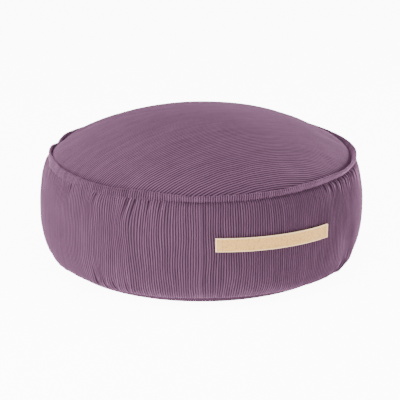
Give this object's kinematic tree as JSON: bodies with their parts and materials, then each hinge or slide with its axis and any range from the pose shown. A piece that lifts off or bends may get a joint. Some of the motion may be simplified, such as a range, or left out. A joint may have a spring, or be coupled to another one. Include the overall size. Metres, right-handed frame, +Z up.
{
  "type": "corduroy floor pouf",
  "caption": "Low round floor pouf in ribbed corduroy, with a crowned top, flanged seams round both edges and a flat webbing carry handle sewn to its side.",
  "frame": {"origin": "middle of the flat base, on the surface the pouf stands on; the pouf's axis passes through it", "axes": "+Z up along the pouf's axis, -Y out through the middle of the handle, +X to the right as the handle is seen from outside"},
  "size_m": [0.6013, 0.6052, 0.2813],
  "materials": {
    "corduroy": "soft cut-pile ribs with a low sheen",
    "webbing": "matt woven cotton tape"
  },
  "bodies": {
    "root": {"cushion": "corduroy", "top_flange": "corduroy", "bottom_flange": "corduroy", "handle": "webbing"}
  },
  "joints": []
}
